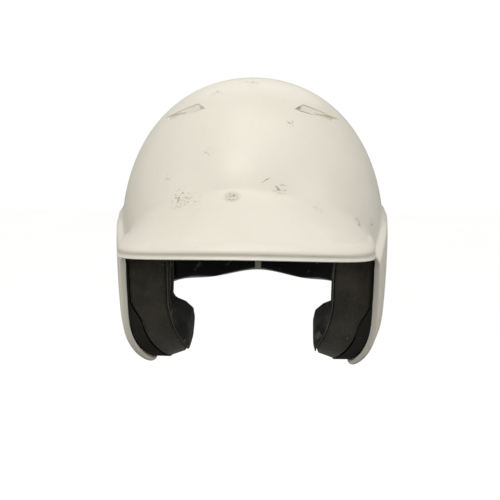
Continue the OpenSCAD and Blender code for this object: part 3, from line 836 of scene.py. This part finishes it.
def sunk(y, z, depth):
    e = 0.5
    slope_y = (wide_x(y + e, z, FULL_BULGE) - wide_x(y - e, z, FULL_BULGE)) / (2 * e)
    slope_z = (wide_x(y, z + e, FULL_BULGE) - wide_x(y, z - e, FULL_BULGE)) / (2 * e)
    return depth / np.maximum(0.6, 1 / np.sqrt(1 + slope_y**2 + slope_z**2))


def seat_x(y, z):
    return (np.minimum(np.minimum(side_x(y, z), side_x(y - 3, z)), side_x(y, z + 3))
            - sunk(y, z, HIDDEN_DEPTH))


def foam_depth(y, z):
    return HIDDEN_DEPTH + BASE_FOAM * mix(0.14, 1, np.maximum(smooth((-z - 46) / 20), smooth((y + 34) / 30)))


def joint_x(y, z, extra):
    return wide_x(y, z, FULL_BULGE) - sunk(y, z, foam_depth(y, z) + extra)


def face_x(y, z):
    def along(table):
        at, x = zip(*table)
        return np.interp(z, at, x)
    return mix(along(LEG_FACE), along(FOOT_FACE), smooth((y + 40) / 26))


def lowered(z):
    return z - FOOT_SKEW * smooth((-z - 60) / 30)


def ring_loop(edge, wall_steps, face_steps):
    """Round the pad's section: (share across from the outside in, share from the shell to the head)."""
    walls = np.linspace(0, 1, wall_steps)[1:-1]
    faces = np.linspace(0, 1, face_steps)[1:-1]
    first = [(edge, 0.0)] + [(w, 0.0) for w in faces]
    first += [(1 - edge, 0.0), (1 - 0.3 * edge, 0.006), (1.0, 0.02)]
    inner = [(1.0, h) for h in walls] + [(1.0, 0.975), (1 - 0.3 * edge, 0.993)]
    head = [(1 - edge, 1.0)] + [(w, 1.0) for w in faces[::-1]]
    head += [(edge, 1.0), (0.3 * edge, 0.993), (0.0, 0.975)]
    outer = [(0.0, h) for h in walls[::-1]] + [(0.0, 0.02), (0.3 * edge, 0.006)]
    return first + inner + head + outer


def ear_ring(share_out, share_in, seated, face_lift, edge=0.03, seed=1, uneven=0.35):
    """Points and faces of one ring pad on the +X side."""
    out, within = closed_curve(EAR_OUT, ROUND_STEPS), closed_curve(EAR_IN, ROUND_STEPS)
    rows = []
    for w, h in ring_loop(edge, 14, 14):
        p = mix(out, within, mix(share_out, share_in, w))
        y, z = p[:, 0], p[:, 1]
        deep = lowered(z)
        if seated:
            near, far, z_far = seat_x(y, deep), joint_x(y, deep, 0), deep
        else:
            near, z_far = joint_x(y, deep, FOAM_GAP), z
            far = face_x(y, z) + face_lift + 1.5 * (2 * w - 1) ** 4
        rows.append(np.stack([mix(near, far, h), y, mix(deep, z_far, h)], -1))
    rows = np.array(rows)
    swell = lump(rows, 17, seed).reshape(rows.shape[:2])
    centre = rows.mean(0, keepdims=True)
    rows = rows + uneven * (swell - 1)[..., None] * unit(rows - centre)
    n, count = rows.shape[:2]
    return rows.reshape(-1, 3), [tuple(reversed(f)) for f in loft_quads(n, count, True)]


def ear_liner(lift_steps=26):
    """The lining on the comfort foam's head side: a thin closed ring, its rim faces marked apart."""
    out, within = closed_curve(EAR_OUT, ROUND_STEPS), closed_curve(EAR_IN, ROUND_STEPS)
    shares = np.linspace(0, 1, lift_steps)

    def lie(w, lift):
        p = mix(out, within, mix(0.06, 0.96, w))
        x = face_x(p[:, 0], p[:, 1]) + lift + 1.5 * (0.92 * (2 * w - 1)) ** 4
        return np.stack([x, p[:, 0], p[:, 1]], -1)

    rows = [lie(w, CLOTH) for w in shares] + [lie(w, 0.0) for w in shares[::-1]]
    rows = np.array(rows)
    ripple = 0.12 * lump(rows, 9, 5).reshape(rows.shape[:2])
    rows[..., 0] += ripple
    n, count = rows.shape[:2]
    faces = [tuple(reversed(f)) for f in loft_quads(n, count, True)]
    rim = [i for i in range(len(faces)) if i // count in (lift_steps - 1, n - 1)]
    return rows.reshape(-1, 3), faces, rim


def ear_pad(side, mirror, seed):
    """The three layers of one ear pad: base foam, comfort foam and lining."""
    def sided(solid):
        return flipped(*solid) if mirror else solid

    base = mesh_piece("visual_ear_base_foam_" + side, *sided(ear_ring(0, 0.9, True, 0, 0.04, 2, 0.2)),
                      BASE_FOAM_MAT, 50)
    hand_in(base, "base_foam", "ear_base_foam_" + side)
    thick = mesh_piece("visual_ear_comfort_foam_" + side,
                       *sided(ear_ring(0.02, 1, False, CLOTH + FOAM_GAP, 0.03, seed, 0.35)),
                       FELT_FOAM, 50)
    hand_in(thick, "comfort_foam", "ear_comfort_foam_" + side)
    points, faces, rim = ear_liner()
    points, faces = sided((points, faces))
    liner = mesh_piece("visual_ear_liner_" + side, points, faces, [LINING, RAW_EDGE], 60)
    for i in rim:
        liner.data.polygons[i].material_index = 1
    hand_in(liner, "liner_cloth", "ear_liner_" + side)


ear_pad("l", True, 3)
ear_pad("r", False, 8)
